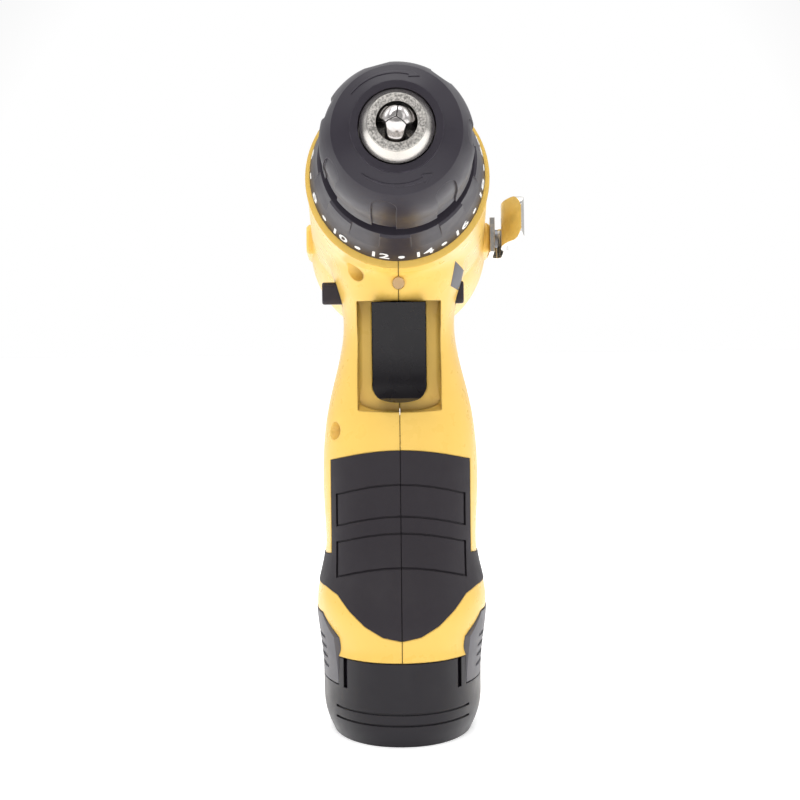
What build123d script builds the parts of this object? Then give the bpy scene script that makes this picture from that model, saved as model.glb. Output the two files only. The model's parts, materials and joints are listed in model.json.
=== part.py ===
"""Pistol-grip cordless drill with a keyless three-jaw chuck and a battery pack that slides into the handle.

Units are millimetres. The drill stands on the flat foot of its battery: the origin is the centre of
that foot, +Z is up, the chuck points towards -Y and +X is the left-hand side of the person holding it.
Heights are drawn from the top of the foot's rim, and keep() lifts every finished piece by FOOT.
The handle and the battery stand upright and the barrel is raked nose-up on the handle, so everything
on the barrel's axis is drawn in a barrel frame: its z is the distance behind the nose (written t), its
x is the row's +X and its y points down.
"""
import math
import os

from build123d import *

os.makedirs("parts", exist_ok=True)

# ---------------------------------------------------------------- fits and walls
WALL = 2.4  # housing wall
SEAM_GAP = 0.2  # between the two housing halves
RUN = 0.05  # radial clearance of a running fit
SLIP = 0.35  # clearance between pieces that slide past each other
SEAT = 0.03  # clearance of pieces fixed to each other

# ---------------------------------------------------------------- barrel frame
BARREL_RAKE = 8.0  # degrees that the barrel points up
NOSE_Y, NOSE_Z = -98.0, 175.0  # where the barrel axis leaves the chuck

# ---------------------------------------------------------------- chuck, from the nose backwards
BIT_HOLE_R = 5.4
NOSE_LIP_R, NOSE_R, NOSE_CONE = 7.5, 9.8, 4.4
SHOULDER, BODY_R = 12.0, 14.5
NUT_FRONT, NUT_BACK, NUT_GROOVE_R = 21.0, 27.0, 11.9
FLANGE_BACK, HUB_R, HUB_BACK = 31.0, 7.8, 43.0
THREAD_R, THREAD_FRONT = 4.76, 30.5
JAWS = 3
JAW_R, JAW_LEN, JAW_TILT = 2.7, 22.0, 18.0
JAW_START_R = 2.15  # a closed jaw's axis is this far from the barrel axis at the nose
JAW_TIP = -5.5  # closed jaws reach this far in front of the nose
JAW_GAP = 0.3  # between closed jaws
JAW_ANGLE = 97.0  # the first jaw is near the bottom
JAW_POINT = [(1.5, 0.0), (2.5, 0.5), (3.1, 1.3), (4.6, 5.0)]  # rounding of the closed tips: radius, setback
SLEEVE_FRONT, SLEEVE_BACK, SLEEVE_R = 4.6, 35.6, 20.9
SLEEVE_MOUTH_R, SLEEVE_LIP_R, SLEEVE_LIP = 10.15, 12.2, 0.7
SLEEVE_FACE_R, SLEEVE_FACE_BACK = 17.3, 8.5
SLEEVE_CAVITY_R, SLEEVE_CAVITY_FRONT = 18.4, 20.7
SCALLOPS, SCALLOP_W, SCALLOP_FRONT, SCALLOP_DEPTH = 7, 6.8, 11.0, 0.6
SCALLOP_ANGLE = 100.7  # where the first thumb recess sits
REAR_RING_R, REAR_RING = 17.6, (38.2, 40.0)
CHUCK_SCREW_HEAD_R, CHUCK_SCREW_R, CHUCK_SCREW_END = 4.2, 2.4, 41.0

# ---------------------------------------------------------------- torque collar and clutch
COLLAR_FRONT, COLLAR_BACK = 41.2, 60.4
COLLAR_FRONT_R, COLLAR_BACK_R = 22.3, 25.4
COLLAR_FACE, COLLAR_WALL = 1.8, 2.1
GRIP_SECTORS, GRIP_DEPTH, GRIP_BACK = 8, 0.9, 51.8
GRIP_ANGLE = 92.0  # middle of the raised rib at the bottom
CLUTCH_NUT, CLUTCH_NUT_R = (45.3, 48.3), 18.4
LUG_R, LUG_W, RAIL_W, LUGS = 20.0, 6.0, 1.6, 3
SPRING_WIRE_R, SPRING_R, SPRING_PITCH = 0.8, 14.2, 2.6
SPRING = (48.8, 58.0)
WASHER = (58.3, 60.0)
WASHER_R = 17.0
BALL_R, BALL_RING_R, BALL_T, BALLS = 2.0, 14.3, 62.2, 6

# ---------------------------------------------------------------- gearbox
NOSE_TUBE_R, NOSE_TUBE_BORE_R, NOSE_TUBE_FRONT = 11.0, 8.3, 41.9
SPINDLE_R = 6.0
BEARING, BEARING_R = (44.2, 51.0), 8.0
CASE_R, CASE_WALL, CASE_FACE = 21.6, 3.0, 2.8
CASE_FRONT, CASE_BACK = 61.4, 98.0
MODULE, SUN_TEETH, PLANET_TEETH, PLANETS = 0.7, 12, 15, 3
TOOTH_HALF = 0.19  # half a tooth's thickness at the pitch line, as a share of the pitch
ADDENDUM, DEDENDUM = 0.75, 1.10
PIN_R = 1.3
CARRIER_R = 12.5
CARRIER_2 = (65.8, 68.4)
PLANETS_2 = (69.0, 78.0)
RING_2, RING_R = (64.6, 79.4), 18.4
CARRIER_1 = (80.6, 83.2)
PLANETS_1 = (84.0, 92.5)
RING_1, RING_1_R = (84.5, 95.5), 18.2
RING_GROOVE = (88.8, 91.2)
SHIFT_TRAVEL = 4.0

# ---------------------------------------------------------------- speed selector on top
SELECTOR_W, SELECTOR_T, SELECTOR_TOP = 10.0, (86.2, 95.2), 29.0
SLIDER_W, SLIDER_T, SLIDER_Y = 11.2, (79.6, 98.4), (23.1, 23.9)
WIRE_R, WIRE_BAND = 0.8, (22.1, 23.0)

# ---------------------------------------------------------------- motor
PLATE = (98.1, 100.3)
MOTOR_R, MOTOR_WALL, MOTOR = 18.0, 1.6, (100.5, 150.0)
MAGNET_R, MAGNET_T, MAGNET_ARC = 12.9, (106.0, 142.0), 130.0
CORE_R, CORE_T, POLES = 12.3, (110.0, 136.0), 5
COIL_R, COIL_LEN = 10.8, 4.2
COMMUTATOR_R, COMMUTATOR_T = 4.2, (143.5, 149.0)
SHAFT_R, SHAFT_T = 1.6, (84.2, 167.0)
PINION_T = (84.2, 96.0)
BUSH_R, BUSH_FRONT, BUSH_REAR = 4.5, (100.7, 104.4), (152.8, 156.8)
END_BELL = (150.2, 157.4)
FAN_R, FAN_T, FAN_BLADES = 16.5, (159.0, 166.0), 9

# ---------------------------------------------------------------- housing
BARREL_FRONT = 61.0
BARREL_OUTLINE = [(26.7, 61.0), (26.9, 80.0), (27.7, 105.0), (28.5, 130.0), (29.2, 150.0), (28.4, 165.0)]
BARREL_END = [(25.0, 173.0), (17.0, 178.0)]
BARREL_DROP = 0.8  # the housing sits low round the gearbox, so its rim shows more below than above
BARREL_BLEND = 5.0  # rounding where the barrel meets the handle
BELLY_DROP = 4.0  # the motor end is fuller below than above
BELLY_OUTLINE = [(22.0, 112.0), (27.0, 128.0), (29.4, 148.0), (29.4, 160.0), (27.2, 169.0), (19.0, 176.0)]
FLANGE, FLANGE_R = 2.2, 21.9  # inner lip round the gearbox at the barrel's mouth
MOTOR_RIBS = (107.0, 143.0)
RIB = 1.6
VENTS, VENT_T, VENT_STEP, VENT_W, VENT_H = 4, 159.0, 3.3, 1.6, 15.0
# handle sections: height, half width, front, back, squareness of the outline
HANDLE = [
    (24.0, 24.6, -38.0, 38.0, 2.10),
    (34.0, 25.8, -37.0, 37.0, 2.15),
    (42.0, 25.9, -34.0, 36.0, 2.20),
    (52.0, 23.8, -28.0, 34.0, 2.30),
    (65.0, 23.9, -24.0, 32.5, 2.35),
    (85.0, 23.9, -22.5, 31.5, 2.40),
    (97.0, 22.4, -22.0, 31.5, 2.45),
    (108.0, 19.8, -21.6, 33.0, 2.45),
    (118.0, 17.7, -22.6, 36.0, 2.40),
    (128.0, 17.7, -27.0, 41.0, 2.35),
    (138.0, 20.5, -33.0, 48.0, 2.30),
    (148.0, 22.2, -34.0, 52.0, 2.30),
]
BAY_TOP = 88.0  # top of the battery's bay in the handle
SCREWS = [(-26.5, 139.0), (-12.0, 90.9), (20.6, 92.4), (32.5, 121.0), (57.0, 175.6)]  # y, z
SCREW_HEAD_R, SCREW_R, SCREW_BOSS_R, SCREW_HEAD_X, SCREW_END_X = 2.6, 1.4, 3.6, 8.0, 9.0
LED_R, LED_Z = 1.8, 135.4

# ---------------------------------------------------------------- rubber grip
PAD, PAD_PROUD, PAD_FIT = 1.3, 0.25, 0.05
PAD_EDGE = [(0.0, 30.3), (5.6, 31.4), (10.9, 34.3), (15.6, 38.3), (19.3, 42.4), (22.9, 43.9), (30.0, 44.4)]
PAD_HALF_W, PAD_TOP, PAD_TOP_SAG, PAD_SHOULDER = 21.3, 85.4, 3.5, (50.0, 53.4)
REAR_PAD_HALF_W, REAR_PAD = 19.0, (36.0, 92.0)
PAD_SPLIT_Y = 4.5
PANELS = [(74.9, 66.0), (60.4, 51.1)]
PANEL_HALF_W, PANEL_SAG, PANEL_LINE, PANEL_DEPTH = 19.1, 3.4, 0.6, 0.5

# ---------------------------------------------------------------- trigger, switch, selector
TRIGGER_W, TRIGGER_Z = 15.8, (100.0, 129.8)
TRIGGER_FACE = [(-30.6, 129.8), (-28.6, 122.5), (-27.6, 115.0), (-28.0, 107.0), (-30.2, 101.4)]  # y, z
TRIGGER_FOOT = [(7.9, 106.0), (7.6, 103.4), (6.4, 101.6), (3.7, 100.4), (0.0, 100.0)]  # x, z
TRIGGER_REAR, TRIGGER_STEM = -18.0, (12.0, 20.0, -9.0)  # shell's back; stem width, height and end
TRIGGER_BORE_R = 3.2
BAY_HALF_W, BAY_FLOOR, BAY_Z, BAY_ROUND = 12.6, -15.5, (96.8, 130.3), 1.5
BAY_WALL = 2.0
SWITCH_W, SWITCH_Y, SWITCH_Z = 17.0, (-2.0, 24.0), (97.0, 126.5)
TRIGGER_SPRING_R, TRIGGER_WIRE_R, TRIGGER_PITCH = 2.4, 0.35, 1.9
DIRECTION_L, DIRECTION_D, DIRECTION_H, DIRECTION_Z, DIRECTION_Y = 43.9, 9.6, 6.9, 133.0, 1.0
DIRECTION_REST, DIRECTION_TRAVEL = -1.75, 3.5

# ---------------------------------------------------------------- battery
BASE_TOP = 23.7
FOOT = 1.5  # height of the foot's rim
BASE_TAPER = [(-FOOT, 3.0), (0.4, 2.1), (3.2, 1.0), (6.5, 0.25), (10.0, 0.0)]  # height, how far in
FOOT_HALF_W, FOOT_HALF_D, FOOT_N = 24.5, 38.0, 2.1
BASE_WALL, BASE_LID = 2.2, 2.2
GROOVES, GROOVE_W, GROOVE_DEPTH, GROOVE_HALF_W = (5.4, 8.8), 0.7, 0.5, 19.9
SLOT_X, SLOT_W, SLOT_BOTTOM, SLOT_DEPTH = 17.0, 1.1, 15.0, 0.9
POST_HALF_W, POST_Y, POST_N, POST_TOP, POST_WALL = 20.6, (-18.6, 27.8), 2.4, 85.0, 1.2
POST_CLEAR = 0.5
CELL_R, CELL_LEN, CELL_BOTTOM = 9.1, 65.0, 8.0
CELLS = [(-9.3, -1.5), (9.3, -1.5), (0.0, 14.4)]
CONTACTS_X, CONTACT = (-7.0, 0.0, 7.0), (1.2, 9.0, 4.6)
BLOCK_HALF_W, BLOCK_Y, BLOCK_Z = 12.0, (-5.0, 14.0), (88.4, 92.4)
LATCH = [(-24.5, 15.6), (13.5, 15.6), (13.5, 35.6), (-16.0, 35.6), (-24.5, 29.5)]  # y, z
LATCH_PROUD, LATCH_IN, LATCH_TRAVEL = 0.5, 1.8, 1.5
LATCH_RIBS, LATCH_RIB_W, LATCH_RIB_STEP = 4, 1.3, 3.0

# ---------------------------------------------------------------- belt hook, in the barrel frame
HOOK_W, HOOK_ROOT_W, HOOK_THICK, HOOK_DROP = 14.0, 10.0, 1.6, 3.8
HOOK_BASE_X, HOOK_BASE_FRONT, HOOK_BEND_T = 31.2, 134.0, 150.0
HOOK_ARM_X, HOOK_PINCH_X, HOOK_PINCH_T = 35.8, 35.0, 113.0
HOOK_TIP_X, HOOK_TIP_T = 39.2, 105.0
HOOK_CORNER = 3.0
BOSS_X, BOSS_T, BOSS_L, BOSS_H, BOSS_DROP = 30.36, 145.0, 20.0, 10.0, 4.2
HOOK_TAPER = (116.0, 140.0)  # where the strip narrows from its tip to its root
HOOK_SCREW_T, HOOK_SCREW_R, HOOK_SCREW_HEAD_R = 142.0, 1.6, 3.0

# ---------------------------------------------------------------- frames and shape helpers
RAKE = math.radians(BARREL_RAKE)
BARREL = Plane(origin=(0, NOSE_Y, NOSE_Z), x_dir=(1, 0, 0), z_dir=(0, math.cos(RAKE), -math.sin(RAKE)))
BACKWARDS = (Align.CENTER, Align.CENTER, Align.MIN)
FAR = 300.0


def on_barrel(shape):
    """Moves a shape drawn in the barrel frame into the row's frame."""
    return BARREL.location * shape


def tube(r_out, r_in, span):
    """A ring on the barrel axis between two distances behind the nose."""
    length = span[1] - span[0]
    ring = Pos(0, 0, span[0]) * Cylinder(r_out, length, align=BACKWARDS)
    if r_in:
        ring -= Pos(0, 0, span[0] - 1) * Cylinder(r_in, length + 2, align=BACKWARDS)
    return ring


def spun(points, curve=()):
    """A solid turned about the barrel axis: corners are (radius, t), and curve is an optional smooth run
    of further points that leads on from the last corner and back to the first."""
    corners = [(r, 0, t) for r, t in points]
    if curve:
        smooth = [(r, 0, t) for r, t in curve]
        edges = Polyline(*corners) + Spline(corners[-1], *smooth) + Line(smooth[-1], corners[0])
    else:
        edges = Polyline(*corners, corners[0])
    return revolve(make_face(edges), Axis.Z)


def around(count, shape, start=0.0):
    """Copies of a shape spaced evenly about the barrel axis."""
    return [Rot(0, 0, start + i * 360 / count) * shape for i in range(count)]


def sector(angle, width, span):
    """A wedge about the barrel axis, for cutting or keeping part of a ring."""
    half_w = math.radians(width / 2)
    mid = math.radians(angle)
    reach = 60.0
    corners = [(0, 0)]
    for side in (-1, 1):
        corners.append((reach * math.cos(mid + side * half_w), reach * math.sin(mid + side * half_w)))
    face = make_face(Polyline(*corners, corners[0]))
    return Pos(0, 0, span[0]) * extrude(face, span[1] - span[0])


def block(x, y, z):
    """A box between (low, high) limits."""
    centre = ((x[0] + x[1]) / 2, (y[0] + y[1]) / 2, (z[0] + z[1]) / 2)
    return Pos(*centre) * Box(x[1] - x[0], y[1] - y[0], z[1] - z[0])


def rod_x(r, x, y, z):
    """A cylinder along X."""
    return Pos((x[0] + x[1]) / 2, y, z) * Rot(0, 90, 0) * Cylinder(r, x[1] - x[0])


def rod_y(r, x, y, z):
    """A cylinder along Y."""
    return Pos(x, (y[0] + y[1]) / 2, z) * Rot(90, 0, 0) * Cylinder(r, y[1] - y[0])


def facing_front(points, y):
    """Extrudes an outline of (x, z) corners along Y between two limits."""
    corners = [(px, y[0], pz) for px, pz in points]
    return extrude(make_face(Polyline(*corners, corners[0])), y[1] - y[0], dir=(0, 1, 0))


def facing_side(points, x):
    """Extrudes an outline of (y, z) corners along X between two limits."""
    corners = [(x[0], py, pz) for py, pz in points]
    return extrude(make_face(Polyline(*corners, corners[0])), x[1] - x[0], dir=(1, 0, 0))


def oval(half_w, front, back, n, z, count=24):
    """A level face with a rounded outline, squarer as n grows."""
    mid, half_d = (front + back) / 2, (back - front) / 2
    points = []
    for i in range(count):
        a = 2 * math.pi * i / count
        c, s = math.cos(a), math.sin(a)
        x = half_w * math.copysign(abs(c) ** (2 / n), c)
        y = mid + half_d * math.copysign(abs(s) ** (2 / n), s)
        points.append((x, y, z))
    return make_face(Spline(*points, periodic=True))


def handle_form(inset, rows=HANDLE):
    """The handle's outside form, shrunk all round by inset."""
    return loft([oval(w - inset, f + inset, b - inset, n, z) for z, w, f, b, n in rows])


def foot_oval(inset, z):
    """The battery base's outline at height z, shrunk all round by inset."""
    return oval(FOOT_HALF_W - inset, inset - FOOT_HALF_D, FOOT_HALF_D - inset, FOOT_N, z)


def base_form(inset):
    """The battery base's outside form, shrunk all round by inset but not in height."""
    low = loft([foot_oval(taper + inset, z) for z, taper in BASE_TAPER])
    top_z = BASE_TAPER[-1][0]
    return low + extrude(foot_oval(inset, top_z), BASE_TOP - top_z, dir=(0, 0, 1))


def post_form(grow, z):
    """The battery post's straight outline, grown all round, between two heights."""
    face = oval(POST_HALF_W + grow, POST_Y[0] - grow, POST_Y[1] + grow, POST_N, z[0])
    return extrude(face, z[1] - z[0], dir=(0, 0, 1))


def half(shape, side):
    """The part of a shape on one side of the seam; side is +1 or -1 along X."""
    return shape & Pos(side * (FAR + SEAM_GAP / 2), 0, 100) * Box(2 * FAR, 2 * FAR, 2 * FAR)


def coil(r, wire_r, pitch, height):
    """A coil spring standing on the XY plane."""
    path = Helix(pitch=pitch, height=height, radius=r)
    return sweep(Plane(path @ 0, z_dir=path % 0) * Circle(wire_r), path, is_frenet=True)


def wire(points, r):
    """A round lead along a smooth line."""
    path = Spline(*points)
    return sweep(Plane(path @ 0, z_dir=path % 0) * Circle(r), path)


PARTS = {}


def keep(name, shape):
    """Stores one finished piece under its name, lifted so that the foot stands on z = 0."""
    PARTS[name] = Pos(0, 0, FOOT) * shape


# ---------------------------------------------------------------- chuck
def jaw_r(t):
    """Distance of a closed jaw's axis from the barrel axis."""
    return JAW_START_R + t * math.tan(math.radians(JAW_TILT))


def jaw_rod(r, start, length):
    """A cylinder on a jaw's slanted axis, from start along it."""
    rod = Pos(0, 0, start) * Cylinder(r, length, align=BACKWARDS)
    return Pos(JAW_START_R, 0, 0) * Rot(0, JAW_TILT, 0) * rod


def jaw():
    """A round jaw whose inner side is ground to a 120 degree wedge, at azimuth 0."""
    shape = jaw_rod(JAW_R, -8.0, JAW_LEN + 8.0)
    apex = JAW_GAP / 2 / math.sin(math.pi / JAWS)
    shape &= Pos(apex, 0, 0) * sector(0, 360 / JAWS, (JAW_TIP, 60.0))
    point = [(r, JAW_TIP + t) for r, t in JAW_POINT]
    return shape & spun([(30, 60), (0, 60), (0, JAW_TIP), point[0]], point[1:])


def chuck_body():
    """Nose, body, nut groove, slotted flange and threaded hub in one piece."""
    body = spun(
        [
            (BIT_HOLE_R, 0),
            (NOSE_LIP_R, 0),
            (NOSE_R, NOSE_CONE),
            (NOSE_R, SHOULDER),
            (BODY_R, SHOULDER),
            (BODY_R, NUT_FRONT),
            (NUT_GROOVE_R, NUT_FRONT),
            (NUT_GROOVE_R, NUT_BACK),
            (BODY_R, NUT_BACK),
            (BODY_R, FLANGE_BACK),
            (HUB_R, FLANGE_BACK),
            (HUB_R, HUB_BACK),
            (THREAD_R + SEAT, HUB_BACK),
            (THREAD_R + SEAT, THREAD_FRONT),
            (BIT_HOLE_R, THREAD_FRONT),
        ]
    )
    for hole in around(JAWS, jaw_rod(JAW_R + RUN, -8.0, 60.0), JAW_ANGLE):
        body -= hole
    return body


def sleeve_outline(depth):
    """Corners and curve of the sleeve's outside, sunk by depth."""
    corners = [
        (0, SLEEVE_BACK),
        (0, SLEEVE_FRONT + depth),
        (SLEEVE_LIP_R - depth, SLEEVE_FRONT + depth),
        (SLEEVE_LIP_R - depth, SLEEVE_FRONT + SLEEVE_LIP + depth),
        (SLEEVE_FACE_R - depth, SLEEVE_FACE_BACK + depth),
    ]
    curve = [
        (SLEEVE_R - 1.6 - depth, 12.6),
        (SLEEVE_R - 0.3 - depth, 17.5),
        (SLEEVE_R - depth, 23.0),
        (SLEEVE_R - depth, SLEEVE_BACK),
    ]
    return corners, curve


def chuck_sleeve():
    """The hand sleeve: domed front, smooth skirt and arched thumb recesses."""
    body = spun(*sleeve_outline(0))
    bore = spun(
        [
            (0, 0),
            (SLEEVE_MOUTH_R, 0),
            (SLEEVE_MOUTH_R, SHOULDER - SLIP),
            (BODY_R + RUN, SHOULDER - SLIP),
            (BODY_R + RUN, SLEEVE_CAVITY_FRONT),
            (SLEEVE_CAVITY_R, SLEEVE_CAVITY_FRONT),
            (SLEEVE_CAVITY_R, SLEEVE_BACK + 1),
            (0, SLEEVE_BACK + 1),
        ]
    )
    body -= bore
    floor = spun(*sleeve_outline(SCALLOP_DEPTH))
    arch_end = SCALLOP_FRONT + SCALLOP_W / 2
    arch = block((10, 40), (-SCALLOP_W / 2, SCALLOP_W / 2), (arch_end, SLEEVE_BACK + 1))
    arch += rod_x(SCALLOP_W / 2, (10, 40), 0, arch_end)
    for recess in around(SCALLOPS, arch, SCALLOP_ANGLE):
        body -= recess - floor
    return body


def jaw_nut():
    """The split-thread ring that the sleeve turns and the jaws' backs run on."""
    front, back = NUT_FRONT + SLIP, NUT_BACK - SLIP
    reach = JAW_R / math.cos(math.radians(JAW_TILT)) + 2 * RUN
    outer = SLEEVE_CAVITY_R - SEAT
    return spun([(jaw_r(front) + reach, front), (outer, front), (outer, back), (jaw_r(back) + reach, back)])


def make_chuck():
    """Everything forward of the torque collar."""
    keep("chuck_body", on_barrel(chuck_body()))
    keep("chuck_sleeve", on_barrel(chuck_sleeve()))
    keep("jaw_nut", on_barrel(jaw_nut()))
    for i, piece in enumerate(around(JAWS, jaw(), JAW_ANGLE)):
        keep(f"chuck_jaw_{i + 1}", on_barrel(piece))
    ring = tube(REAR_RING_R, HUB_R + SEAT, REAR_RING)
    keep("chuck_rear_ring", on_barrel(ring))
    head = tube(CHUCK_SCREW_HEAD_R, 0, (THREAD_FRONT - 3.0, THREAD_FRONT - SEAT))
    for turn in (0, 90):
        head -= Rot(0, 0, turn) * block((-2.6, 2.6), (-0.5, 0.5), (THREAD_FRONT - 4.0, THREAD_FRONT - 1.4))
    screw = head + tube(CHUCK_SCREW_R, 0, (THREAD_FRONT - SEAT, CHUCK_SCREW_END - 0.5))
    keep("chuck_screw", on_barrel(screw))


# ---------------------------------------------------------------- clutch
def collar_outline(depth, back):
    """Outside of the torque collar, sunk by depth, closed to the axis."""
    slope = (COLLAR_BACK_R - COLLAR_FRONT_R) / (COLLAR_BACK - COLLAR_FRONT)
    end_r = COLLAR_FRONT_R + slope * (back - COLLAR_FRONT) - depth
    return [
        (0, COLLAR_FRONT),
        (COLLAR_FRONT_R - 0.7 - depth, COLLAR_FRONT),
        (COLLAR_FRONT_R - depth, COLLAR_FRONT + 0.7),
        (end_r, back),
        (0, back),
    ]


def clutch_collar():
    """The torque ring: a cup with eight shallow grip recesses and inner rails that carry the nut."""
    body = spun(collar_outline(0, COLLAR_BACK))
    inner = spun(collar_outline(GRIP_DEPTH, COLLAR_BACK))
    floor = spun(
        [
            (0, COLLAR_FRONT - 1),
            (COLLAR_FRONT_R - GRIP_DEPTH, COLLAR_FRONT - 1),
            collar_outline(0, GRIP_BACK)[3],
            (0, GRIP_BACK),
        ]
    )
    cavity_front = COLLAR_FRONT + COLLAR_FACE
    cavity = spun(
        [
            (0, cavity_front),
            (COLLAR_FRONT_R - COLLAR_WALL, cavity_front),
            (COLLAR_BACK_R - COLLAR_WALL, COLLAR_BACK + 1),
            (0, COLLAR_BACK + 1),
        ]
    )
    shell = body - cavity
    rail = block((CLUTCH_NUT_R + 0.5, 30), (0, RAIL_W), (cavity_front - 1, COLLAR_BACK - 3.0))
    rail_side = LUG_W / 2 + SLIP
    for side in (rail_side, -rail_side - RAIL_W):
        for piece in around(LUGS, Pos(0, side, 0) * rail):
            shell += piece & inner
    step = 360 / GRIP_SECTORS
    for i in range(GRIP_SECTORS):
        recess = sector(GRIP_ANGLE + (i + 0.5) * step, step / 2, (COLLAR_FRONT - 1, GRIP_BACK))
        shell -= recess - floor
    return shell - tube(NOSE_TUBE_R + RUN, 0, (COLLAR_FRONT - 1, cavity_front + 1))


def make_clutch():
    """Torque collar, the nut it winds back, spring, washer and balls."""
    keep("clutch_collar", on_barrel(clutch_collar()))
    nut = tube(CLUTCH_NUT_R, 0, CLUTCH_NUT)
    for lug in around(LUGS, block((10, LUG_R), (-LUG_W / 2, LUG_W / 2), CLUTCH_NUT)):
        nut += lug
    keep("clutch_nut", on_barrel(nut - tube(NOSE_TUBE_R + RUN, 0, (CLUTCH_NUT[0] - 1, CLUTCH_NUT[1] + 1))))
    height = SPRING[1] - SPRING[0] - 2 * SPRING_WIRE_R
    spring = Pos(0, 0, SPRING[0] + SPRING_WIRE_R) * coil(SPRING_R, SPRING_WIRE_R, SPRING_PITCH, height)
    keep("clutch_spring", on_barrel(spring))
    keep("clutch_washer", on_barrel(tube(WASHER_R, NOSE_TUBE_R + SLIP, WASHER)))
    balls = around(BALLS, Pos(BALL_RING_R, 0, BALL_T) * Sphere(BALL_R))
    keep("clutch_balls", on_barrel(Compound(children=balls)))


# ---------------------------------------------------------------- gears
def pitch_r(teeth):
    """Pitch radius of a wheel."""
    return MODULE * teeth / 2


CENTRES = pitch_r(SUN_TEETH) + pitch_r(PLANET_TEETH)
RING_TEETH = SUN_TEETH + 2 * PLANET_TEETH


def toothed(teeth, inner=False):
    """A gear's outline as a face: straight-flanked teeth, the first centred on +X. For a ring gear it is
    the outline of the hole, with the first gap centred on +X."""
    r = pitch_r(teeth)
    out = 1 if not inner else -1
    tip, root = r + out * ADDENDUM * MODULE, r - out * DEDENDUM * MODULE
    pitch = 2 * math.pi / teeth
    flank = math.tan(math.radians(20)) / r
    tip_half = TOOTH_HALF * pitch - ADDENDUM * MODULE * flank
    root_half = TOOTH_HALF * pitch + DEDENDUM * MODULE * flank
    shift = pitch / 2 if inner else 0.0
    points = []
    for i in range(teeth):
        mid = i * pitch + shift
        for radius, offset in ((root, -root_half), (tip, -tip_half), (tip, tip_half), (root, root_half)):
            a = mid + offset
            points.append((radius * math.cos(a), radius * math.sin(a)))
    return make_face(Polyline(*points, points[0]))


def wheel(teeth, span, bore_r):
    """A spur gear on the barrel axis."""
    gear = Pos(0, 0, span[0]) * extrude(toothed(teeth), span[1] - span[0])
    return gear - tube(bore_r, 0, (span[0] - 1, span[1] + 1)) if bore_r else gear


def ring_gear(span, outer_r):
    """An internally toothed ring."""
    hole = Pos(0, 0, span[0] - 1) * extrude(toothed(RING_TEETH, inner=True), span[1] - span[0] + 2)
    return tube(outer_r, 0, span) - hole


def planet(k, span):
    """A planet wheel at its place round the sun, turned so that it meshes."""
    phi = 2 * math.pi * k / PLANETS
    turn = phi + math.pi - math.pi / PLANET_TEETH + phi * SUN_TEETH / PLANET_TEETH
    place = Pos(CENTRES * math.cos(phi), CENTRES * math.sin(phi), 0)
    return place * Rot(0, 0, math.degrees(turn)) * wheel(PLANET_TEETH, span, PIN_R + RUN)


def carrier(span, pins):
    """A carrier plate with its planet pins."""
    plate = tube(CARRIER_R, 0, span)
    for pin in around(PLANETS, Pos(CENTRES, 0, 0) * tube(PIN_R, 0, pins)):
        plate += pin
    return plate


def make_gears():
    """Two planetary stages and the case round them."""
    spindle = carrier(CARRIER_2, (CARRIER_2[1], PLANETS_2[1] + 0.8))
    spindle += tube(SPINDLE_R, 0, (HUB_BACK + SLIP, CARRIER_2[0]))
    spindle += tube(THREAD_R, 0, (THREAD_FRONT, HUB_BACK + SLIP))
    spindle -= tube(CHUCK_SCREW_R + SEAT, 0, (THREAD_FRONT - 1, CHUCK_SCREW_END))
    keep("output_spindle", on_barrel(spindle))
    first = carrier(CARRIER_1, (CARRIER_1[1], PLANETS_1[1] + 0.6))
    first += wheel(SUN_TEETH, (PLANETS_2[0] + 0.2, CARRIER_1[0]), 0)
    keep("motor_stage_carrier", on_barrel(first))
    for k in range(PLANETS):
        keep(f"output_planet_{k + 1}", on_barrel(planet(k, PLANETS_2)))
        keep(f"motor_planet_{k + 1}", on_barrel(planet(k, PLANETS_1)))
    keep("output_ring_gear", on_barrel(ring_gear(RING_2, RING_R)))
    shift = ring_gear(RING_1, RING_1_R)
    shift -= tube(RING_1_R + 1, RING_1_R - 1.0, RING_GROOVE)
    keep("shift_ring_gear", on_barrel(shift))
    keep("front_bearing", on_barrel(tube(BEARING_R, SPINDLE_R + RUN, BEARING)))
    keep("gearbox_case", on_barrel(gearbox_case()))


def gearbox_case():
    """Gear case with the threaded nose tube that the clutch nut and the torque collar run on."""
    bore_r = CASE_R - CASE_WALL
    face_back = CASE_FRONT + CASE_FACE
    case = spun(
        [
            (NOSE_TUBE_BORE_R, NOSE_TUBE_FRONT),
            (NOSE_TUBE_R, NOSE_TUBE_FRONT),
            (NOSE_TUBE_R, CASE_FRONT),
            (CASE_R, CASE_FRONT),
            (CASE_R, CASE_BACK),
            (bore_r, CASE_BACK),
            (bore_r, face_back),
            (NOSE_TUBE_BORE_R, face_back),
            (NOSE_TUBE_BORE_R, BEARING[1] + 1),
            (BEARING_R + SEAT, BEARING[1] + SEAT),
            (BEARING_R + SEAT, BEARING[0] - SEAT),
            (NOSE_TUBE_BORE_R, BEARING[0] - SEAT),
        ]
    )
    ball_hole = Pos(BALL_RING_R, 0, 0) * tube(BALL_R + RUN, 0, (CASE_FRONT - 1, face_back + 1))
    for hole in around(BALLS, ball_hole):
        case -= hole
    reach = SHIFT_TRAVEL + WIRE_R + SLIP
    wire_t = sum(RING_GROOVE) / 2
    slot = block((-30, 30), (-WIRE_R - SLIP, WIRE_R + SLIP), (wire_t - reach, wire_t + WIRE_R + SLIP))
    return case - slot


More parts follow.
